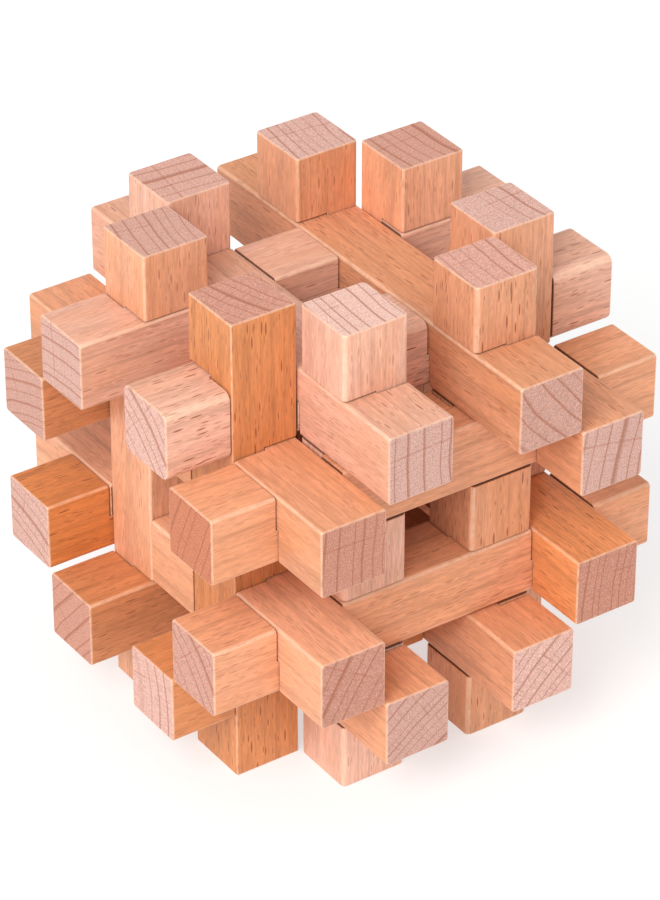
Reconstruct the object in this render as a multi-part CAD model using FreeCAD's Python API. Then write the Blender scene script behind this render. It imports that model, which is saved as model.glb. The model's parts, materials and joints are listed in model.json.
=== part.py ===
"""Wooden burr puzzle of 24 square sticks, eight along each axis, half-lapped where they cross.

Millimetres, +Z up. The origin is on the ground under the middle of the puzzle, which stands on
the lower ends of its eight uprights. Every stick is a separate solid in its own STEP file.

The sticks' centre lines lie on a square grid with one pitch between neighbours. Seen from its own
end, each group of eight leaves the corners and the middle of the grid empty: a stick stands one
pitch out one way and two pitches out the other way. Every place where two sticks cross is a half
lap, so each stick keeps half of its thickness there. It has four such laps, one and two pitches
out from its middle towards each end.
"""
import FreeCAD, Part
import os

# Driving dimensions
stick_width = 10.0        # side of the square section
lap_play = 0.2            # a lap is this much longer than the stick that crosses in it
end_block = 9.8           # full section left at each end, past the outer lap
edge_round = 0.5          # eased long edges and ends

# What follows from them
pitch = stick_width + lap_play
laps_reach = 2.5 * pitch                # from a stick's middle to the far side of its outer lap
stick_length = 2 * (laps_reach + end_block)
standing_height = stick_length / 2      # the puzzle's middle is this far above the ground
cut_over = 1.0                          # how far a cutting box runs past the stick's faces

AXES = {
    "x": FreeCAD.Vector(1, 0, 0),
    "y": FreeCAD.Vector(0, 1, 0),
    "z": FreeCAD.Vector(0, 0, 1),
}

# Each stick's axis and the place of its centre line in pitches; the entry along its own axis is 0.
# The uprights stand along Z, the crossbars lie along X and the depthbars lie along Y.
# Front is -Y, left is -X.
STICKS = {
    "upright_front_left": ("z", (-1, -2, 0)),
    "upright_front_right": ("z", (1, -2, 0)),
    "upright_back_left": ("z", (-1, 2, 0)),
    "upright_back_right": ("z", (1, 2, 0)),
    "upright_left_front": ("z", (-2, -1, 0)),
    "upright_left_back": ("z", (-2, 1, 0)),
    "upright_right_front": ("z", (2, -1, 0)),
    "upright_right_back": ("z", (2, 1, 0)),
    "crossbar_top_front": ("x", (0, -1, 2)),
    "crossbar_top_back": ("x", (0, 1, 2)),
    "crossbar_bottom_front": ("x", (0, -1, -2)),
    "crossbar_bottom_back": ("x", (0, 1, -2)),
    "crossbar_front_upper": ("x", (0, -2, 1)),
    "crossbar_front_lower": ("x", (0, -2, -1)),
    "crossbar_back_upper": ("x", (0, 2, 1)),
    "crossbar_back_lower": ("x", (0, 2, -1)),
    "depthbar_top_left": ("y", (-1, 0, 2)),
    "depthbar_top_right": ("y", (1, 0, 2)),
    "depthbar_bottom_left": ("y", (-1, 0, -2)),
    "depthbar_bottom_right": ("y", (1, 0, -2)),
    "depthbar_left_upper": ("y", (-2, 0, 1)),
    "depthbar_left_lower": ("y", (-2, 0, -1)),
    "depthbar_right_upper": ("y", (2, 0, 1)),
    "depthbar_right_lower": ("y", (2, 0, -1)),
}


def sign(number):
    """+1 or -1."""
    return 1 if number > 0 else -1


def in_sliding_half(axis, place):
    """Whether a stick belongs to the twelve that slide out to the front together.

    They are the sticks that stand one pitch out along the first of the two axes across them,
    and two pitches out along the second, taken in the order x, y, z.
    """
    across = [abs(place[i]) for i, name in enumerate("xyz") if name != axis]
    return across == [1, 2]


def lap_side(first, second, cell):
    """The axis that separates two crossing sticks and the side of it that the first one keeps.

    Each of the two is an (axis, place) pair, and the cell is the crossing's place in pitches.
    """
    normal = next(name for name in "xyz" if name not in (first[0], second[0]))
    if normal == "y":
        # An upright and a crossbar: the sliding half's stick lies in front.
        side = -1 if in_sliding_half(*first) else 1
    elif normal == "x":
        # An upright and a depthbar: the stick of the sliding half's four corners is the
        # upright on the outside; in the other half the depthbar is on the outside.
        outer_axis = "z" if in_sliding_half(*first) else "y"
        outward = sign(cell[0])
        side = outward if first[0] == outer_axis else -outward
    elif in_sliding_half(*first):
        # A crossbar and a depthbar above the top or under the bottom: crossbar outside.
        outward = sign(cell[2])
        side = outward if first[0] == "x" else -outward
    else:
        # A crossbar and a depthbar at a corner of the puzzle's middle: crossbar on top.
        side = 1 if first[0] == "x" else -1
    return normal, side


def crossings(name):
    """Every (other stick, cell) where a stick crosses another one."""
    axis, place = STICKS[name]
    found = []
    for other, (other_axis, other_place) in STICKS.items():
        if other_axis == axis:
            continue
        normal = next(i for i, letter in enumerate("xyz") if letter not in (axis, other_axis))
        if place[normal] == other_place[normal]:
            cell = [place[i] + other_place[i] for i in range(3)]
            cell[normal] = place[normal]
            found.append((other, tuple(cell)))
    return found


def grid_point(place):
    """A place given in pitches, in millimetres."""
    return FreeCAD.Vector(*place) * pitch + FreeCAD.Vector(0, 0, standing_height)


def box_about(centre, size):
    """A box of the given size with its middle at a point."""
    corner = centre - FreeCAD.Vector(*size) / 2
    return Part.makeBox(size[0], size[1], size[2], corner)


def plain_stick(axis, place):
    """A square stick with eased edges, before its laps are cut."""
    size = [stick_length if name == axis else stick_width for name in "xyz"]
    stick = box_about(grid_point(place), size)
    return stick.makeFillet(edge_round, stick.Edges)


def lap_cut(axis, cell, normal, side):
    """The box that a lap takes away from the stick: all but the side that it keeps."""
    wide = stick_width + 2 * cut_over
    deep = stick_width / 2 + cut_over
    size = []
    for name in "xyz":
        if name == axis:
            size.append(pitch)
        elif name == normal:
            size.append(deep)
        else:
            size.append(wide)
    return box_about(grid_point(cell) - AXES[normal] * (side * deep / 2), size)


def make_stick(name):
    """One finished stick with its four laps."""
    axis, place = STICKS[name]
    cuts = []
    for other, cell in crossings(name):
        normal, side = lap_side(STICKS[name], STICKS[other], cell)
        cuts.append(lap_cut(axis, cell, normal, side))
    return plain_stick(axis, place).cut(cuts)


def main():
    os.makedirs("parts", exist_ok=True)
    for name in STICKS:
        stick = make_stick(name)
        solid = stick.Solids[0]
        solid.exportStep(f"parts/{name}.step")
        print(f"{name}: {len(stick.Solids)} solid, {solid.Volume / 1000:.2f} cubic centimetres")


if __name__ == "__main__":
    main()
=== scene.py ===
import json
import math
import bpy
from collections import namedtuple
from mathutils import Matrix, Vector


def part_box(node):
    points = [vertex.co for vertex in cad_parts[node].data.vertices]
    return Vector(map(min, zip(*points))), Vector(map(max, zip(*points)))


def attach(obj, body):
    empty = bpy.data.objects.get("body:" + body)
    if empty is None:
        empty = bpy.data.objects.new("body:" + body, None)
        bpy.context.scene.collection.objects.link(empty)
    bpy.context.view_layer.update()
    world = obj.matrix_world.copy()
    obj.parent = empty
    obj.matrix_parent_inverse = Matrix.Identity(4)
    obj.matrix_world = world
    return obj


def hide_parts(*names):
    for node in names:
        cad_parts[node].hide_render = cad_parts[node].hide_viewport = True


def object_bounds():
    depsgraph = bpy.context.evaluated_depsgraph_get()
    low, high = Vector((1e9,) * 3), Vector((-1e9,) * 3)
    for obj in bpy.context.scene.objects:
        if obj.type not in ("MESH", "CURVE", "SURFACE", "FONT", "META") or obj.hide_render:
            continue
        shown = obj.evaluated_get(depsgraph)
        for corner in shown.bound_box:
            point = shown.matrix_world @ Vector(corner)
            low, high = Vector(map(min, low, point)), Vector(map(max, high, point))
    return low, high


bl_info = {
    "name": "Beech Burr Puzzle",
    "version": (1, 0, 0),
    "blender": (4, 5, 0),
    "location": "3D View > Sidebar > Puzzle",
    "description": "Makes the worn beech sticks of a half-lapped burr puzzle, and a studio",
    "category": "Add Mesh",
}

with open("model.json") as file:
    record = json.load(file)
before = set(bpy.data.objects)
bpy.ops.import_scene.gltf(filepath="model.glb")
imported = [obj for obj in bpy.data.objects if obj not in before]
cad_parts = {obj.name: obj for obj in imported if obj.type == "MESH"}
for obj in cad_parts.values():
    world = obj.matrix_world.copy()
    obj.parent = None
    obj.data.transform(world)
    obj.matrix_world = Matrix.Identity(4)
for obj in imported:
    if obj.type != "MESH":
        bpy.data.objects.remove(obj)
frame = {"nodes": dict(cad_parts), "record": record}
cad_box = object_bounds()
RECORD = frame["record"]

MM = 0.001
AXES = (Vector((1, 0, 0)), Vector((0, 1, 0)), Vector((0, 0, 1)))
WHITE = (1.0, 1.0, 1.0, 1.0)

# A stick's wood: its tone, the direction of the log's heart seen along the stick in degrees, the
# distance to the heart in millimetres, how strongly its flecks show, how round sanding has left
# its long edges, how light its sides are, and how brown and how light its sawn ends are. The
# uprights' ends are set lighter, partly as painted light on the ends that face up.
Beech = namedtuple(
    "Beech", "tone heart_angle heart_far flecks roundness side_light end_brown end_light")
WOOD = {
    "upright_front_left": Beech("pink", 80, 60, 0.6, 0.8, 1.0, 0.2, 1.06),
    "upright_front_right": Beech("orange", 108, 60, 0.95, 0.5, 0.92, 0.5, 1.06),
    "upright_back_left": Beech("pink", 95, 70, 0.6, 0.8, 1.08, 0.4, 1.06),
    "upright_back_right": Beech("pink", 95, 90, 0.7, 0.8, 0.92, 0.0, 1.12),
    "upright_left_front": Beech("pale", 175, 80, 0.6, 0.9, 1.04, 0.2, 1.12),
    "upright_left_back": Beech("honey", 85, 80, 0.6, 1.0, 0.93, 0.0, 1.12),
    "upright_right_front": Beech("pale", 88, 95, 0.45, 1.3, 1.0, 0.0, 1.4),
    "upright_right_back": Beech("honey", 88, 95, 0.9, 1.4, 0.91, 0.3, 1.18),
    "crossbar_top_front": Beech("pale", 92, 85, 0.75, 0.9, 0.94, 0.0, 1.0),
    "crossbar_top_back": Beech("honey", 130, 45, 0.75, 1.0, 0.88, 0.2, 0.95),
    "crossbar_bottom_front": Beech("honey", 35, 60, 0.45, 1.0, 1.0, 0.1, 1.0),
    "crossbar_bottom_back": Beech("honey", 45, 50, 0.55, 1.0, 0.92, 0.0, 1.2),
    "crossbar_front_upper": Beech("honey", 88, 75, 0.4, 0.8, 0.93, 0.6, 0.95),
    "crossbar_front_lower": Beech("pink", 60, 70, 0.45, 0.9, 1.0, 0.5, 0.95),
    "crossbar_back_upper": Beech("honey", 80, 80, 0.6, 1.0, 0.93, 0.0, 1.0),
    "crossbar_back_lower": Beech("orange", 85, 40, 0.8, 0.8, 1.08, 0.6, 0.95),
    "depthbar_top_left": Beech("pale", 85, 70, 0.55, 1.0, 0.95, 0.0, 1.0),
    "depthbar_top_right": Beech("pale", 130, 65, 0.95, 2.2, 0.97, 0.0, 1.12),
    "depthbar_bottom_left": Beech("russet", 40, 60, 0.9, 1.0, 0.94, 0.5, 1.0),
    "depthbar_bottom_right": Beech("orange", 170, 40, 0.6, 1.0, 0.92, 0.0, 1.15),
    "depthbar_left_upper": Beech("russet", 70, 45, 0.6, 1.0, 0.88, 0.2, 0.95),
    "depthbar_left_lower": Beech("amber", 105, 60, 0.9, 0.8, 0.93, 0.0, 1.05),
    "depthbar_right_upper": Beech("honey", 20, 50, 0.45, 1.0, 0.98, 1.0, 1.0),
    "depthbar_right_lower": Beech("honey", 135, 70, 0.65, 1.1, 1.03, 0.3, 1.0),
}

# Ray flecks: the room that each takes up in millimetres, out from the log's heart, round it and
# along the grain, and how far across that room the longest one reaches from its middle. The
# shortest reaches a share of that, and the dark core and pale halo are shares of a fleck's reach.
Flecks = namedtuple("Flecks", "room reach")
FLECK_SETS = {
    "Fleck": Flecks((0.66, 0.38, 4.2), 0.33),
    "Fine Fleck": Flecks((0.4, 0.26, 2.6), 0.36),
}
SHORTEST_FLECK = 0.28
FLECK_CORE = 0.5
HALO_REACH = 1.7

# Millimetres between the rays at a sawn end and between the yearly rings, which differ from stick
# to stick in a few steps, and how far the grain wanders.
RAY_SPACING = 0.85
NARROW_RING = 1.5
RING_STEP = 0.17
RING_KINDS = 5
WAVINESS = 1.4

# How far along the log each stick is cut from the one before, for its grain and for its fibres
NEXT_STICK = 97.0
NEXT_FIBRES = 83.0

# Lumps of noise to a millimetre: twice across the grain, then along it
BEND_LUMPS = (0.09, 0.09, 0.035)
STREAK_LUMPS = (3.5, 3.5, 0.35)
BROAD_STREAK_LUMPS = (0.7, 0.7, 0.08)
CLOUD_LUMPS = (0.12, 0.12, 0.05)
PORE_LUMPS = (5.5, 5.5, 0.5)
SAW_MARK_LUMPS = (0.35, 4.5, 0.4)
WEAR_AND_HIGHLIGHT_LUMPS = (0.9, 0.9, 0.9)

# A mark laid on the wood's colour, painted highlight and shade among them: how much of it shows,
# and how light it is as a share of the tone it takes
Mark = namedtuple("Mark", "shown shade")
LATE_WOOD = Mark(0.35, 0.55)
HALO = Mark(0.3, 1.3)
END_RING = Mark(0.66, 1.2)
END_RAY = Mark(0.45, 1.4)
# Pale worn wood, with a painted highlight along the rims and edges
WORN_EDGE_AND_HIGHLIGHT = Mark(0.8, 1.0)
# Painted shade: the walls deep in the laps are darkened to a share of the stick's tone
LAP_WALL_SHADE = Mark(0.85, 0.22)
FLECK_SHOWN = 0.88
FINE_FLECK_SHOWN = 0.5
CLOUD_SHOWN = 0.35
SAW_MARK_SHOWN = 0.2
PORES_SHOWN = 0.55

# How light the two ends of a mottled tone are, as shares of the wood's own tone
STREAKS = (0.79, 1.18)
YEARS = (0.90, 1.12)
PORES = (0.62, 1.5)
SAW_MARK_SHADE = 1.35

# Roughness of planed sides and of sawn ends, and what a fleck adds and a rubbed edge takes off
SIDE_ROUGHNESS = 0.52
END_ROUGHNESS = 0.78
FLECK_ROUGHER = 0.15
WORN_SMOOTHER = 0.12

# How strongly bare wood shines, how deep its relief is, and each mark's share of that depth
WOOD_GLOSS = 0.35
RELIEF_DEPTH = 0.06 * MM
RELIEF_STRENGTH = 0.5
FLECK_DEPTH = 0.9
STREAK_DEPTH = 0.5
SPECKLE_DEPTH = 0.8
SAW_MARK_DEPTH = 0.6

# Modelling: steps round a rounded edge, how much two sticks share at a lap, how deep in a lap's
# wall its painted shade starts, how near a rim is to its end, and the size of the waver's lumps.
LONG_EDGE_STEPS = 5
RIM_STEPS = 2
LEAST_SHARED = 1 * MM
LAP_SHADE_DEPTH = 0.6 * MM
END_REACH = 0.1 * MM
WAVER_LUMP = 4.5 * MM

# Shading: the angle under which two faces are shaded as one, how much large faces count, and the
# cosine under which two faces meet in a sharp edge.
SMOOTH_ANGLE = math.radians(35)
LARGE_FACES_COUNT = 60
SHARP_COSINE = 0.5

# What part of a face's normal points along the stick, on a side and from side to full end grain
SIDE_LEAN = 0.1
END_LEAN = (0.55, 0.85)
# The largest part of a face's normal, from fully rubbed to not rubbed, and the long edges' share
# of the pale wear and painted highlight
RUBBED_LEAN = (0.875, 0.995)
LONG_EDGE_WEAR_AND_HIGHLIGHT = 0.6

# The studio in metres, with its places counted from the puzzle's middle
FLOOR_SIZE = 6.0
FLOOR_DROP = 0.05 * MM
FLOOR_LUMPS = (40.0, 40.0, 40.0)
FLOOR_TONES = (0.99, 1.01)
FLOOR_ROUGHNESS = 0.9
KEY_PLACE = Vector((0.44, -0.68, 0.667))
KEY_SIZE = 0.6
KEY_COLOUR = (1.0, 0.985, 0.96)
CAMERA_PLACE = Vector((0.3923, -0.2685, 0.3081))
CAMERA_AIM = Vector((0.25, -0.11, -0.42)) * MM


# ---------------------------------------------------------------- settings

class StickSettings(bpy.types.PropertyGroup):
    """Sizes of the worn sticks."""
    long_round: bpy.props.FloatProperty(
        name="Long edge radius", description="Radius that sanding leaves on the four long edges",
        default=0.55 * MM, min=0.0, unit="LENGTH")
    rim_round: bpy.props.FloatProperty(
        name="End rim radius", description="Radius of the rim round each end",
        default=0.3 * MM, min=0.0, unit="LENGTH")
    lap_round: bpy.props.FloatProperty(
        name="Lap edge radius", description="Wear of the sharp edges round each lap",
        default=0.15 * MM, min=0.0, unit="LENGTH")
    lap_ease: bpy.props.FloatProperty(
        name="Lap ease", description="How much longer than its place in the grid a lap is sawn",
        default=0.11 * MM, min=0.0, unit="LENGTH")
    shrink: bpy.props.FloatProperty(
        name="Sanded off", description="Wood that sanding takes off every outer face",
        default=0.035 * MM, min=0.0, unit="LENGTH")
    lap_gap: bpy.props.FloatProperty(
        name="Lap looseness", description="How far a lap's floor lies under the stick's middle",
        default=0.03 * MM, min=0.0, unit="LENGTH")
    waver: bpy.props.FloatProperty(
        name="Waver", description="How far the hand-sanded faces and edges leave the true shape",
        default=0.08 * MM, min=0.0, unit="LENGTH")
    slice_length: bpy.props.FloatProperty(
        name="Slice length", description="Distance between the rings of points along a stick",
        default=2.3 * MM, min=0.5 * MM, unit="LENGTH")


class WoodSettings(bpy.types.PropertyGroup):
    """Colours of the beech."""
    pale: bpy.props.FloatVectorProperty(
        name="Pale beech", description="Side grain of the palest sticks", subtype="COLOR",
        size=3, default=(0.79, 0.45, 0.335), min=0.0, max=1.0)
    pink: bpy.props.FloatVectorProperty(
        name="Pink beech", description="Side grain of the steamed, pinkish sticks",
        subtype="COLOR", size=3, default=(0.80, 0.395, 0.24), min=0.0, max=1.0)
    honey: bpy.props.FloatVectorProperty(
        name="Honey beech", description="Side grain of the middling sticks", subtype="COLOR",
        size=3, default=(0.76, 0.35, 0.195), min=0.0, max=1.0)
    orange: bpy.props.FloatVectorProperty(
        name="Orange beech", description="Side grain of the most orange sticks",
        subtype="COLOR", size=3, default=(0.69, 0.27, 0.105), min=0.0, max=1.0)
    amber: bpy.props.FloatVectorProperty(
        name="Amber beech", description="Side grain of the deepest orange sticks",
        subtype="COLOR", size=3, default=(0.69, 0.24, 0.07), min=0.0, max=1.0)
    russet: bpy.props.FloatVectorProperty(
        name="Russet beech", description="Side grain of the reddest sticks", subtype="COLOR",
        size=3, default=(0.62, 0.25, 0.108), min=0.0, max=1.0)
    end_grain: bpy.props.FloatVectorProperty(
        name="End grain", description="Sawn ends, which are greyer and pinker than the sides",
        subtype="COLOR", size=3, default=(0.565, 0.336, 0.283), min=0.0, max=1.0)
    brown_end: bpy.props.FloatVectorProperty(
        name="Brown end grain", description="Sawn ends of the brownest sticks", subtype="COLOR",
        size=3, default=(0.51, 0.18, 0.095), min=0.0, max=1.0)
    fleck: bpy.props.FloatVectorProperty(
        name="Ray fleck", description="Dark dashes where a ray meets the surface",
        subtype="COLOR", size=3, default=(0.28, 0.085, 0.038), min=0.0, max=1.0)
    # Pale worn wood, also a painted highlight along the edges
    worn: bpy.props.FloatVectorProperty(
        name="Worn edge", description="Bare, pale wood along rubbed edges", subtype="COLOR",
        size=3, default=(0.90, 0.60, 0.43), min=0.0, max=1.0)


class StudioSettings(bpy.types.PropertyGroup):
    """The floor, the lights and the camera."""
    floor_colour: bpy.props.FloatVectorProperty(
        name="Floor", description="Milky glass of the light table under the puzzle",
        subtype="COLOR", size=3, default=(0.45, 0.45, 0.45), min=0.0, max=1.0)
    floor_glow: bpy.props.FloatProperty(
        name="Floor glow", description="Light that the floor itself gives, as a light table does",
        default=0.56, min=0.0)
    sky: bpy.props.FloatProperty(
        name="Soft light", description="Strength of the even light from all round", default=0.75,
        min=0.0)
    key: bpy.props.FloatProperty(
        name="Key light", description="Power of the large light above and in front of the puzzle",
        default=8.3, min=0.0, unit="POWER")
    lens: bpy.props.FloatProperty(
        name="Lens", description="Focal length of the camera", default=168.2, min=1.0,
        unit="CAMERA")


# ---------------------------------------------------------------- node helpers

class Wiring:
    """Fills a node tree one node at a time, from left to right."""

    def __init__(self, tree):
        self.tree = tree
        self.column = 0

    def node(self, kind, **settings):
        made = self.tree.nodes.new(kind)
        made.location = (180 * self.column, -40 * (self.column % 5))
        self.column += 1
        for name, value in settings.items():
            setattr(made, name, value)
        return made

    def feed(self, socket, value):
        """Links an output into a socket, or sets the socket to a plain value."""
        if isinstance(value, bpy.types.NodeSocket):
            self.tree.links.new(value, socket)
        else:
            socket.default_value = value

    def math(self, operation, first, second=0.0, third=0.0):
        made = self.node("ShaderNodeMath", operation=operation)
        for socket, value in zip(made.inputs, (first, second, third)):
            self.feed(socket, value)
        return made.outputs[0]

    def times(self, first, second):
        return self.math("MULTIPLY", first, second)

    def plus(self, first, second):
        return self.math("ADD", first, second)

    def vector(self, operation, first, second):
        made = self.node("ShaderNodeVectorMath", operation=operation)
        self.feed(made.inputs[0], first)
        self.feed(made.inputs[1], second)
        return made.outputs[0]

    def scaled(self, value, share):
        """A vector made longer or shorter by a number."""
        made = self.node("ShaderNodeVectorMath", operation="SCALE")
        self.feed(made.inputs[0], value)
        self.feed(made.inputs["Scale"], share)
        return made.outputs[0]

    def length(self, value):
        made = self.node("ShaderNodeVectorMath", operation="LENGTH")
        self.feed(made.inputs[0], value)
        return made.outputs["Value"]

    def split(self, value):
        made = self.node("ShaderNodeSeparateXYZ")
        self.feed(made.inputs[0], value)
        return made.outputs

    def join(self, x, y, z):
        made = self.node("ShaderNodeCombineXYZ")
        for socket, value in zip(made.inputs, (x, y, z)):
            self.feed(socket, value)
        return made.outputs[0]

    def ramp(self, value, low, high, first=0.0, last=1.0):
        """A smooth step from first, at low, to last, at high."""
        made = self.node("ShaderNodeMapRange", interpolation_type="SMOOTHSTEP")
        for name, given in (("Value", value), ("From Min", low), ("From Max", high),
                            ("To Min", first), ("To Max", last)):
            self.feed(made.inputs[name], given)
        return made.outputs[0]

    def fade(self, value, low, high):
        """A smooth step down from 1, at low, to 0, at high."""
        return self.ramp(value, low, high, first=1.0, last=0.0)

    def line(self, value, rise, fall):
        """A line that comes up between two values and goes down again between two more."""
        return self.times(self.ramp(value, *rise), self.fade(value, *fall))

    def mix(self, factor, first, second):
        """Mixes two colours, which are a Mix node's inputs 6 and 7 and its output 2."""
        made = self.node("ShaderNodeMix", data_type="RGBA")
        self.feed(made.inputs[0], factor)
        self.feed(made.inputs[6], first)
        self.feed(made.inputs[7], second)
        return made.outputs[2]

    def mottle(self, factor, tone, shades):
        """A tone that goes from one of its shades to the other."""
        return self.mix(factor, rgb(tone, shades[0]), rgb(tone, shades[1]))

    def lay(self, below, mask, mark, tone):
        """Lays a mark of this tone over a colour, where the mask is."""
        return self.mix(self.times(mask, mark.shown), below, rgb(tone, mark.shade))

    def noise(self, place, lumps=None, detail=2.0, roughness=0.5):
        """Noise with this many lumps to a unit of the place, along each of its axes."""
        if lumps:
            place = self.vector("MULTIPLY", place, lumps)
        made = self.node("ShaderNodeTexNoise", noise_dimensions="3D")
        self.feed(made.inputs["Vector"], place)
        made.inputs["Scale"].default_value = 1.0
        made.inputs["Detail"].default_value = detail
        made.inputs["Roughness"].default_value = roughness
        return made.outputs

    def noise_of(self, value, lumps, line, detail=1.0):
        """Noise that changes with one value only, read along a line of its own."""
        return self.noise(self.join(self.times(value, lumps), *line), detail=detail)["Fac"]

    def cells(self, place, room):
        """(distance to the nearest scattered centre, that centre's chance number)."""
        made = self.node("ShaderNodeTexVoronoi", voronoi_dimensions="3D", feature="F1")
        lumps = tuple(1 / part for part in room)
        self.feed(made.inputs["Vector"], self.vector("MULTIPLY", place, lumps))
        made.inputs["Scale"].default_value = 1.0
        return made.outputs["Distance"], self.split(made.outputs["Color"])[0]

    def group(self, name, **values):
        made = self.node("ShaderNodeGroup", node_tree=bpy.data.node_groups[name])
        for key, value in values.items():
            self.feed(made.inputs[key.replace("_", " ")], value)
        return made.outputs

    def attribute(self, name):
        """A number that is stored on the stick's faces."""
        return self.node("ShaderNodeAttribute", attribute_name=name).outputs["Fac"]


def new_group(name, inputs, outputs):
    """An empty shader group: (wiring, what it is given, what it results in)."""
    tree = bpy.data.node_groups.new(name, "ShaderNodeTree")
    for way, sockets in (("INPUT", inputs), ("OUTPUT", outputs)):
        for label, kind in sockets.items():
            tree.interface.new_socket(label, in_out=way, socket_type="NodeSocket" + kind)
    wiring = Wiring(tree)
    given = wiring.node("NodeGroupInput").outputs
    result = wiring.node("NodeGroupOutput")
    result.location = (4000, 0)
    return wiring, given, result.inputs


def rgb(colour, share=1.0):
    """A colour with its alpha, darkened or lightened by a share."""
    return tuple(min(1.0, part * share) for part in colour[:3]) + (1.0,)


def grey(value):
    """A grey with its alpha."""
    return (value, value, value, 1.0)


# ---------------------------------------------------------------- wood groups

def group_log():
    """Turns a place in the stick into one in the log: (out from the heart, round it, along it)."""
    wiring, given, result = new_group(
        "Place in log", {"Place": "Vector", "Heart": "Vector", "Waviness": "Float"},
        {"Log Place": "Vector"})
    shake = wiring.noise(given["Place"], BEND_LUMPS, detail=1.0)["Color"]
    shake = wiring.vector("SUBTRACT", shake, (0.5, 0.5, 0.5))
    bent = wiring.vector("ADD", given["Place"], wiring.scaled(shake, given["Waviness"]))
    x, y, z = wiring.split(wiring.vector("SUBTRACT", bent, given["Heart"]))
    radius = wiring.length(wiring.join(x, y, 0.0))
    heart_x, heart_y, _ = wiring.split(given["Heart"])
    heart_far = wiring.length(wiring.join(heart_x, heart_y, 0.0))
    # Turns are counted from the stick's middle as the heart sees it
    stick_turn = wiring.math("ARCTAN2", wiring.times(heart_y, -1.0), wiring.times(heart_x, -1.0))
    turn = wiring.math("SUBTRACT", wiring.math("ARCTAN2", y, x), stick_turn)
    turn = wiring.math("WRAP", turn, math.pi, -math.pi)
    wiring.feed(result["Log Place"], wiring.join(radius, wiring.times(turn, heart_far), z))


def group_rings():
    """The yearly rings: a thin line of late wood, and a tone for each year."""
    wiring, given, result = new_group(
        "Yearly rings", {"Log Place": "Vector", "Ring Width": "Float"},
        {"Late Wood": "Float", "Year Tone": "Float"})
    radius, _, _ = wiring.split(given["Log Place"])
    years = wiring.math("DIVIDE", radius, given["Ring Width"])
    good_years = wiring.noise_of(years, lumps=0.6, line=(3.1, 7.7))
    years = wiring.plus(years, wiring.times(good_years, 1.6))
    line = wiring.line(wiring.math("FRACT", years), rise=(0.76, 0.94), fall=(0.965, 0.995))
    strength = wiring.noise_of(years, lumps=0.31, line=(1.3, 9.2), detail=0.0)
    wiring.feed(result["Late Wood"], wiring.times(line, wiring.ramp(strength, 0.2, 0.55)))
    wiring.feed(result["Year Tone"], wiring.noise_of(years, lumps=0.45, line=(5.0, 0.0)))


def group_flecks():
    """Short dark dashes where the rays come out at a side face, a fine second set, and halos."""
    wiring, given, result = new_group(
        "Ray flecks", {"Log Place": "Vector"},
        {"Fleck": "Float", "Fine Fleck": "Float", "Halo": "Float"})
    for label, flecks in FLECK_SETS.items():
        distance, chance = wiring.cells(given["Log Place"], flecks.room)
        size = wiring.ramp(chance, 0.0, 1.0, first=SHORTEST_FLECK, last=1.0)
        reach = wiring.times(size, flecks.reach)
        core = wiring.times(reach, FLECK_CORE)
        wiring.feed(result[label], wiring.fade(distance, core, reach))
        if label == "Fleck":
            outer = wiring.times(reach, HALO_REACH)
            wiring.feed(result["Halo"], wiring.fade(distance, reach, outer))


def group_fibres():
    """Soft streaks along the grain, and slow changes of tone through the stick."""
    wiring, given, result = new_group(
        "Fibres", {"Place": "Vector"}, {"Streak": "Float", "Cloud": "Float"})
    place = given["Place"]
    fine = wiring.noise(place, STREAK_LUMPS, detail=3.0, roughness=0.7)["Fac"]
    broad = wiring.noise(place, BROAD_STREAK_LUMPS)["Fac"]
    wiring.feed(result["Streak"], wiring.plus(
        wiring.ramp(fine, 0.34, 0.66, last=0.6), wiring.ramp(broad, 0.3, 0.7, last=0.4)))
    wiring.feed(result["Cloud"], wiring.noise(place, CLOUD_LUMPS)["Fac"])


def group_sawn_end():
    """What a sawn end shows: ray lines that run out from the heart, speckled pores, saw marks."""
    wiring, given, result = new_group(
        "Sawn end", {"Log Place": "Vector", "Place": "Vector"},
        {"Ray Line": "Float", "Speckle": "Float", "Saw Mark": "Float"})
    radius, round_it, _ = wiring.split(given["Log Place"])
    rays = wiring.times(round_it, 1 / RAY_SPACING)
    uneven = wiring.times(wiring.noise_of(rays, lumps=0.7, line=(4.1, 2.7)), 1.8)
    part = wiring.math("FRACT", wiring.plus(rays, uneven))
    line = wiring.line(part, rise=(0.80, 0.90), fall=(0.92, 1.0))
    broken = wiring.noise(wiring.join(radius, round_it, 6.3), (0.35, 0.9, 1.0))["Fac"]
    wiring.feed(result["Ray Line"], wiring.times(line, wiring.ramp(broken, 0.36, 0.6)))
    pores = wiring.noise(given["Place"], PORE_LUMPS, roughness=0.7)["Fac"]
    wiring.feed(result["Speckle"], wiring.ramp(pores, 0.34, 0.66))
    wiring.feed(result["Saw Mark"], wiring.noise(given["Place"], SAW_MARK_LUMPS)["Fac"])


def group_edge_wear_and_highlight():
    """Where handling has polished the edges, with a painted highlight on them, broken up by noise.
    """
    wiring, given, result = new_group(
        "Edge wear", {"Edge": "Float", "Place": "Vector"}, {"Wear": "Float"})
    patches = wiring.noise(given["Place"], WEAR_AND_HIGHLIGHT_LUMPS, detail=3.0)["Fac"]
    broken = wiring.ramp(patches, 0.3, 0.62, first=0.45, last=1.0)
    wiring.feed(result["Wear"], wiring.times(given["Edge"], broken))


WOOD_GROUPS = (group_log, group_rings, group_flecks, group_fibres, group_sawn_end,
               group_edge_wear_and_highlight)


def ensure_wood_groups():
    """Builds the shared groups the first time that a stick needs them."""
    if "Place in log" not in bpy.data.node_groups:
        for make in WOOD_GROUPS:
            make()


# ---------------------------------------------------------------- the sticks' materials

Grain = namedtuple("Grain", "rings flecks fibres sawn wear")


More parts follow.
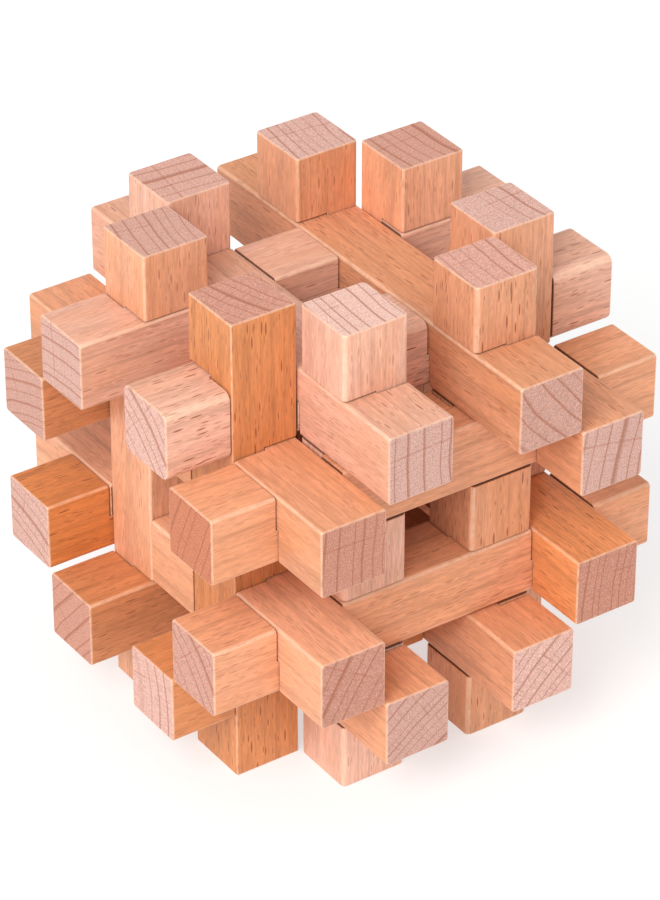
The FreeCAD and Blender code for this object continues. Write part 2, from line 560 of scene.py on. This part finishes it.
def place_in_stick(wiring, axis, centre):
    """The stick's own millimetres, with Z along its grain and 0 at its middle."""
    turns = ((0.0, math.pi / 2, 0.0), (-math.pi / 2, 0.0, 0.0), (0.0, 0.0, 0.0))
    mapping = wiring.node("ShaderNodeMapping", vector_type="TEXTURE")
    mapping.inputs["Location"].default_value = centre
    mapping.inputs["Rotation"].default_value = turns[axis]
    mapping.inputs["Scale"].default_value = (MM, MM, MM)
    wiring.feed(mapping.inputs["Vector"], wiring.node("ShaderNodeTexCoord").outputs["Object"])
    return mapping.outputs[0]


def grain_of(wiring, name, place):
    """The shared groups, set for one stick."""
    wood = WOOD[name]
    number = list(WOOD).index(name)
    angle = math.radians(wood.heart_angle)
    heart = (wood.heart_far * math.cos(angle), wood.heart_far * math.sin(angle),
             NEXT_STICK * (number + 1))
    log = wiring.group("Place in log", Place=place, Heart=heart, Waviness=WAVINESS)["Log Place"]
    moved = wiring.vector("ADD", place, (0.0, 0.0, NEXT_FIBRES * (number + 1)))
    ring_width = NARROW_RING + RING_STEP * (number % RING_KINDS)
    return Grain(
        rings=wiring.group("Yearly rings", Log_Place=log, Ring_Width=ring_width),
        flecks=wiring.group("Ray flecks", Log_Place=log),
        fibres=wiring.group("Fibres", Place=moved),
        sawn=wiring.group("Sawn end", Log_Place=log, Place=moved),
        wear=wiring.group("Edge wear", Edge=wiring.attribute("edge"), Place=moved)["Wear"])


def dashes(wiring, grain, strength):
    """Both sets of flecks together, as strong as they are in this stick."""
    both = wiring.math("MAXIMUM", wiring.times(grain.flecks["Fleck"], FLECK_SHOWN),
                       wiring.times(grain.flecks["Fine Fleck"], FINE_FLECK_SHOWN))
    return wiring.times(both, strength)


def side_colour(wiring, grain, dash, base, colours):
    """The long faces: streaks, clouds of a warmer tone, yearly rings, halos and flecks."""
    colour = wiring.mottle(grain.fibres["Streak"], base, STREAKS)
    clouds = wiring.ramp(grain.fibres["Cloud"], 0.35, 0.7, last=CLOUD_SHOWN)
    colour = wiring.mix(clouds, colour, rgb(colours.orange))
    colour = wiring.lay(colour, grain.rings["Late Wood"], LATE_WOOD, base)
    colour = wiring.lay(colour, grain.flecks["Halo"], HALO, base)
    return wiring.mix(dash, colour, rgb(colours.fleck))


def end_colour(wiring, grain, base, colours):
    """The sawn ends: a tone for each year, saw marks, speckled pores, ray lines and rings."""
    colour = wiring.mottle(grain.rings["Year Tone"], base, YEARS)
    saw_marks = wiring.ramp(grain.sawn["Saw Mark"], 0.35, 0.7, last=SAW_MARK_SHOWN)
    colour = wiring.mix(saw_marks, colour, rgb(base, SAW_MARK_SHADE))
    pores = wiring.mottle(grain.sawn["Speckle"], base, PORES)
    colour = wiring.mix(PORES_SHOWN, colour, pores)
    colour = wiring.lay(colour, grain.sawn["Ray Line"], END_RAY, colours.fleck)
    return wiring.lay(colour, grain.rings["Late Wood"], END_RING, colours.fleck)


def beech(name, axis, centre):
    """One stick's own beech: the shared groups with this stick's tone, rings and flecks."""
    ensure_wood_groups()
    colours = bpy.context.scene.puzzle_wood
    wood = WOOD[name]
    side_base = [wood.side_light * part for part in getattr(colours, wood.tone)]
    # The uprights' lighter ends are partly painted light on the tops that face up
    end_base = [wood.end_light * (pale + wood.end_brown * (brown - pale))
                for pale, brown in zip(colours.end_grain, colours.brown_end)]

    material = bpy.data.materials.new(f"beech_{name}")
    material.use_nodes = True
    wiring = Wiring(material.node_tree)
    shader = material.node_tree.nodes["Principled BSDF"]
    grain = grain_of(wiring, name, place_in_stick(wiring, axis, centre))
    dash = dashes(wiring, grain, wood.flecks)
    at_end = wiring.attribute("end_grain")

    # Rubbed edges get pale wear and a painted highlight, and the walls deep in the laps get
    # painted shade
    colour = wiring.mix(at_end, side_colour(wiring, grain, dash, side_base, colours),
                        end_colour(wiring, grain, end_base, colours))
    colour = wiring.lay(colour, grain.wear, WORN_EDGE_AND_HIGHLIGHT, colours.worn)
    colour = wiring.lay(colour, wiring.attribute("inside"), LAP_WALL_SHADE, side_base)
    wiring.feed(shader.inputs["Base Color"], colour)

    dull = wiring.mix(at_end, grey(SIDE_ROUGHNESS), grey(END_ROUGHNESS))
    dull = wiring.plus(dull, wiring.times(dash, FLECK_ROUGHER))
    wiring.feed(shader.inputs["Roughness"], wiring.math(
        "SUBTRACT", dull, wiring.times(grain.wear, WORN_SMOOTHER)))
    shader.inputs["Specular IOR Level"].default_value = WOOD_GLOSS

    # Flecks, streaks, speckles and saw marks are all pressed a little into the surface
    pits = wiring.plus(wiring.times(dash, FLECK_DEPTH),
                       wiring.times(grain.fibres["Streak"], STREAK_DEPTH))
    end_pits = wiring.plus(wiring.times(grain.sawn["Speckle"], SPECKLE_DEPTH),
                           wiring.times(grain.sawn["Saw Mark"], SAW_MARK_DEPTH))
    bump = wiring.node("ShaderNodeBump", invert=True)
    bump.inputs["Strength"].default_value = RELIEF_STRENGTH
    bump.inputs["Distance"].default_value = RELIEF_DEPTH
    wiring.feed(bump.inputs["Height"], wiring.mix(at_end, pits, end_pits))
    wiring.feed(shader.inputs["Normal"], bump.outputs["Normal"])
    return material


# ---------------------------------------------------------------- stick modelling

def select_only(piece):
    """Makes one piece the active and the only selected one."""
    bpy.ops.object.select_all(action="DESELECT")
    piece.select_set(True)
    bpy.context.view_layer.objects.active = piece


def new_block(name, low, high):
    """A box from one corner to the other, with its place in its mesh, alone selected."""
    bpy.ops.object.select_all(action="DESELECT")
    bpy.ops.mesh.primitive_cube_add(size=1.0, location=(low + high) / 2, scale=high - low)
    bpy.ops.object.transform_apply(location=True, rotation=True, scale=True)
    block = bpy.context.active_object
    block.name = name
    return block


def apply_modifier(piece, kind, **settings):
    """Adds one modifier with its settings and applies it."""
    modifier = piece.modifiers.new(kind.title(), kind)
    for name, value in settings.items():
        setattr(modifier, name, value)
    bpy.context.view_layer.objects.active = piece
    bpy.ops.object.modifier_apply(modifier=modifier.name)


def longest(size):
    """The number of the longest of three sides."""
    return max(range(3), key=lambda i: size[i])


def lap_places(name):
    """Every (cell's middle, axis that the crossing stick lies along) of a stick's laps."""
    low, high = (Vector(corner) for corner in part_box(name))
    for other in WOOD:
        other_low, other_high = (Vector(corner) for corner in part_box(other))
        shared_low = Vector(map(max, low, other_low))
        shared_high = Vector(map(min, high, other_high))
        if other != name and min(shared_high - shared_low) > LEAST_SHARED:
            yield (shared_low + shared_high) / 2, longest(other_high - other_low)


def kept_side(node, centre, normal, width):
    """+1 or -1: the side of the lap at this place where the CAD stick keeps its wood."""
    struck, place, _, _ = node.ray_cast(centre + normal * width, -normal)
    if not struck:
        raise RuntimeError(f"{node.name} has no wood at its lap")
    # The ray meets a whole side half a width from the middle, and a lap's floor at the middle
    return 1 if (place - centre).dot(normal) > width / 4 else -1


def round_long_edges(stick, axis, radius):
    """Rounds the four edges that run along the stick."""
    bpy.ops.object.mode_set(mode="EDIT")
    bpy.ops.mesh.select_all(action="DESELECT")
    bpy.ops.mesh.select_mode(type="EDGE")
    bpy.ops.object.mode_set(mode="OBJECT")
    points = stick.data.vertices
    for edge in stick.data.edges:
        first, last = (points[i].co for i in edge.vertices)
        edge.select = longest([abs(part) for part in last - first]) == axis
    bpy.ops.object.mode_set(mode="EDIT")
    bpy.ops.mesh.bevel(offset=radius, segments=LONG_EDGE_STEPS, affect="EDGES")
    bpy.ops.object.mode_set(mode="OBJECT")


def cut_lap(stick, axis, centre, other_axis, settings, width, pitch):
    """Cuts one half lap, a pitch long and a little over, where the CAD stick is open."""
    normal_axis = 3 - axis - other_axis
    normal = AXES[normal_axis]
    node = frame["nodes"][stick["node"]]
    away = -kept_side(node, centre, normal, width) * normal
    half = Vector((width, width, width))
    half[axis] = (pitch + settings.lap_ease) / 2
    half[normal_axis] = width / 2
    middle = centre + away * (width / 2 - settings.lap_gap)
    cutter = new_block("lap_cutter", middle - half, middle + half)
    apply_modifier(stick, "BOOLEAN", object=cutter, operation="DIFFERENCE", solver="EXACT")
    bpy.data.objects.remove(cutter)


def span(piece, axis):
    """(lowest, highest) place of a piece along an axis."""
    places = [corner[axis] for corner in piece.bound_box]
    return min(places), max(places)


def soften_sharp_edges(stick, axis, settings):
    """Eases the rims of the ends, and a little the edges of the laps that stick out."""
    mesh = stick.data
    faces = {}
    for polygon in mesh.polygons:
        for key in polygon.edge_keys:
            faces.setdefault(key, []).append(polygon)
    low, high = span(stick, axis)
    lap_weight = settings.lap_round / settings.rim_round
    weights = mesh.attributes.new("bevel_weight_edge", "FLOAT", "EDGE")
    for edge in mesh.edges:
        first, second = faces[edge.key]
        sharp = first.normal.dot(second.normal) < SHARP_COSINE
        sticks_out = (second.center - first.center).dot(first.normal) < 0
        if sharp and sticks_out:
            places = [mesh.vertices[i].co[axis] for i in edge.vertices]
            at_end = all(min(place - low, high - place) < END_REACH for place in places)
            weights.data[edge.index].value = 1.0 if at_end else lap_weight
    apply_modifier(stick, "BEVEL", width=settings.rim_round, segments=RIM_STEPS,
                   limit_method="WEIGHT")


def slice_along(stick, axis, settings):
    """Adds rings of points along the stick, so that its faces and edges can waver."""
    low, high = span(stick, axis)
    count = round((high - low) / settings.slice_length)
    bpy.context.view_layer.objects.active = stick
    bpy.ops.object.mode_set(mode="EDIT")
    for number in range(1, count):
        place = low + (high - low) * number / count
        bpy.ops.mesh.select_all(action="SELECT")
        bpy.ops.mesh.bisect(plane_co=AXES[axis] * place, plane_no=AXES[axis])
    bpy.ops.object.mode_set(mode="OBJECT")


def waver_texture():
    """Slow noise that the sticks' faces follow."""
    name = "sanding_waver"
    if name not in bpy.data.textures:
        texture = bpy.data.textures.new(name, "CLOUDS")
        texture.noise_scale = WAVER_LUMP
        texture.noise_depth = 1
        texture.cloud_type = "COLOR"
    return bpy.data.textures[name]


def share_between(value, low, high):
    """0 up to low, 1 from high, and evenly between."""
    return min(1.0, max(0.0, (value - low) / (high - low)))


def mark_faces(stick, axis, settings):
    """Stores how far each face is end grain and a worn, highlighted edge, and if it gets painted
    lap shade.
    """
    mesh = stick.data
    middle = Vector(sum(span(stick, i)) / 2 for i in range(3))
    far_end = span(stick, axis)[1] - middle[axis]
    skin = min(stick.dimensions) / 2
    marks = {name: mesh.attributes.new(name, "FLOAT", "FACE").data
             for name in ("end_grain", "edge", "inside")}
    for polygon in mesh.polygons:
        lean = [abs(part) for part in polygon.normal]
        from_middle = [abs(part) for part in polygon.center - middle]
        at_end = from_middle[axis] > far_end - 2 * settings.rim_round
        depth = skin - max(from_middle[i] for i in range(3) if i != axis)
        on_side = lean[axis] < SIDE_LEAN
        # Ends and long edges get pale worn wood with a painted highlight
        rubbed = 1.0 if at_end else LONG_EDGE_WEAR_AND_HIGHLIGHT if on_side else 0.0
        end_grain = share_between(lean[axis], *END_LEAN) if at_end else 0.0
        edge = rubbed * (1.0 - share_between(max(lean), *RUBBED_LEAN))
        marks["end_grain"][polygon.index].value = end_grain
        marks["edge"][polygon.index].value = edge
        # Faces deep in a lap's walls, away from the ends, get painted shade
        marks["inside"][polygon.index].value = float(depth > LAP_SHADE_DEPTH and not at_end)


def body_of(name):
    """The body that a node belongs to."""
    bodies = RECORD["behaviour"]["bodies"]
    return next(body for body, nodes in bodies.items() if name in nodes)


def make_stick(name):
    """One finished stick in place of its plain CAD solid."""
    settings = bpy.context.scene.puzzle_sticks
    low, high = (Vector(corner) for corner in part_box(name))
    axis = longest(high - low)
    centre = (low + high) / 2
    width = min(high - low)
    # The outer laps lie two pitches from the stick's middle, and the inner ones one
    laps = list(lap_places(name))
    along = sorted(abs((place - centre)[axis]) for place, _ in laps)
    pitch = along[-1] - along[0]
    skin = Vector((settings.shrink, settings.shrink, settings.shrink))

    stick = new_block(f"{name}_beech", low + skin, high - skin)
    stick["node"] = name
    round_long_edges(stick, axis, settings.long_round * WOOD[name].roundness)
    for place, other_axis in laps:
        cut_lap(stick, axis, place, other_axis, settings, width, pitch)
    soften_sharp_edges(stick, axis, settings)
    slice_along(stick, axis, settings)
    apply_modifier(stick, "DISPLACE", texture=waver_texture(), texture_coords="LOCAL",
                   direction="RGB_TO_XYZ", strength=settings.waver, mid_level=0.5)
    mark_faces(stick, axis, settings)
    select_only(stick)
    bpy.ops.object.shade_smooth_by_angle(angle=SMOOTH_ANGLE)
    apply_modifier(stick, "WEIGHTED_NORMAL", keep_sharp=True,
                   weight=LARGE_FACES_COUNT)

    stick.data.materials.clear()
    stick.data.materials.append(beech(name, axis, centre))
    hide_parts(name)
    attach(stick, body_of(name))


def make_sticks(kind):
    """The eight sticks whose names start with this word."""
    for name in WOOD:
        if name.startswith(kind):
            make_stick(name)


# ---------------------------------------------------------------- studio

def add_floor(settings):
    """A wide pale floor under the puzzle."""
    bpy.ops.object.select_all(action="DESELECT")
    bpy.ops.mesh.primitive_plane_add(size=FLOOR_SIZE, location=(0.0, 0.0, -FLOOR_DROP))
    floor = bpy.context.active_object
    floor.name = "floor"
    bpy.ops.object.transform_apply(location=True)
    material = bpy.data.materials.new("floor_glass")
    material.use_nodes = True
    wiring = Wiring(material.node_tree)
    shader = material.node_tree.nodes["Principled BSDF"]
    place = wiring.node("ShaderNodeTexCoord").outputs["Object"]
    cloudy = wiring.noise(place, FLOOR_LUMPS)["Fac"]
    wiring.feed(shader.inputs["Base Color"],
                wiring.mottle(cloudy, settings.floor_colour, FLOOR_TONES))
    shader.inputs["Roughness"].default_value = FLOOR_ROUGHNESS
    shader.inputs["Emission Color"].default_value = WHITE
    shader.inputs["Emission Strength"].default_value = settings.floor_glow
    floor.data.materials.append(material)


def look_at(thing, aim):
    """Turns a light or a camera towards a point."""
    thing.rotation_euler = (aim - thing.location).to_track_quat("-Z", "Y").to_euler()


def add_key_light(settings, middle):
    """A large soft light that looks at the puzzle."""
    bpy.ops.object.select_all(action="DESELECT")
    bpy.ops.object.light_add(type="AREA", location=middle + KEY_PLACE)
    light = bpy.context.active_object
    light.name = "key_light"
    light.data.shape = "DISK"
    light.data.size = KEY_SIZE
    light.data.energy = settings.key
    light.data.color = KEY_COLOUR
    look_at(light, middle)


def add_soft_air(scene, settings):
    """Even light from all round, shown with no change to its colours."""
    world = bpy.data.worlds.new("studio_air")
    world.use_nodes = True
    air = world.node_tree.nodes["Background"]
    air.inputs["Color"].default_value = WHITE
    air.inputs["Strength"].default_value = settings.sky
    scene.world = world
    scene.view_settings.view_transform = "Standard"


def add_camera(scene, settings, middle):
    """The camera, to the right, in front and above."""
    bpy.ops.object.select_all(action="DESELECT")
    bpy.ops.object.camera_add(location=middle + CAMERA_PLACE)
    camera = bpy.context.active_object
    camera.name = "camera"
    camera.data.lens = settings.lens
    look_at(camera, middle + CAMERA_AIM)
    scene.camera = camera


# ---------------------------------------------------------------- operators and panel

class PUZZLE_OT_studio(bpy.types.Operator):
    """Make the floor, the lights and the camera"""
    bl_idname = "puzzle.studio"
    bl_label = "Studio"

    def execute(self, context):
        settings = context.scene.puzzle_studio
        low, high = (Vector(corner) for corner in cad_box)
        middle = (low + high) / 2
        add_floor(settings)
        add_key_light(settings, middle)
        add_soft_air(context.scene, settings)
        add_camera(context.scene, settings, middle)
        return {"FINISHED"}


class PUZZLE_OT_uprights(bpy.types.Operator):
    """Make the eight sticks that stand upright"""
    bl_idname = "puzzle.uprights"
    bl_label = "Uprights"

    def execute(self, context):
        make_sticks("upright")
        return {"FINISHED"}


class PUZZLE_OT_crossbars(bpy.types.Operator):
    """Make the eight sticks that lie from left to right"""
    bl_idname = "puzzle.crossbars"
    bl_label = "Crossbars"

    def execute(self, context):
        make_sticks("crossbar")
        return {"FINISHED"}


class PUZZLE_OT_depthbars(bpy.types.Operator):
    """Make the eight sticks that lie from front to back"""
    bl_idname = "puzzle.depthbars"
    bl_label = "Depthbars"

    def execute(self, context):
        make_sticks("depthbar")
        return {"FINISHED"}


STEPS = (PUZZLE_OT_studio, PUZZLE_OT_uprights, PUZZLE_OT_crossbars, PUZZLE_OT_depthbars)
SETTINGS = {"puzzle_sticks": StickSettings, "puzzle_wood": WoodSettings,
            "puzzle_studio": StudioSettings}


class PUZZLE_PT_panel(bpy.types.Panel):
    """Lists the steps and the settings"""
    bl_idname = "PUZZLE_PT_panel"
    bl_label = "Burr Puzzle"
    bl_space_type = "VIEW_3D"
    bl_region_type = "UI"
    bl_category = "Puzzle"

    def draw(self, context):
        for group in SETTINGS:
            settings = getattr(context.scene, group)
            column = self.layout.column()
            for name in type(settings).__annotations__:
                column.prop(settings, name)
        for step in STEPS:
            self.layout.operator(step.bl_idname)


def register():
    for kind in (*SETTINGS.values(), *STEPS, PUZZLE_PT_panel):
        bpy.utils.register_class(kind)
    for name, kind in SETTINGS.items():
        setattr(bpy.types.Scene, name, bpy.props.PointerProperty(type=kind))


def unregister():
    for name in SETTINGS:
        delattr(bpy.types.Scene, name)
    for kind in reversed((*SETTINGS.values(), *STEPS, PUZZLE_PT_panel)):
        bpy.utils.unregister_class(kind)


def main():
    register()
    bpy.ops.puzzle.studio()
    bpy.ops.puzzle.uprights()
    bpy.ops.puzzle.crossbars()
    bpy.ops.puzzle.depthbars()


if __name__ == "__main__":
    main()
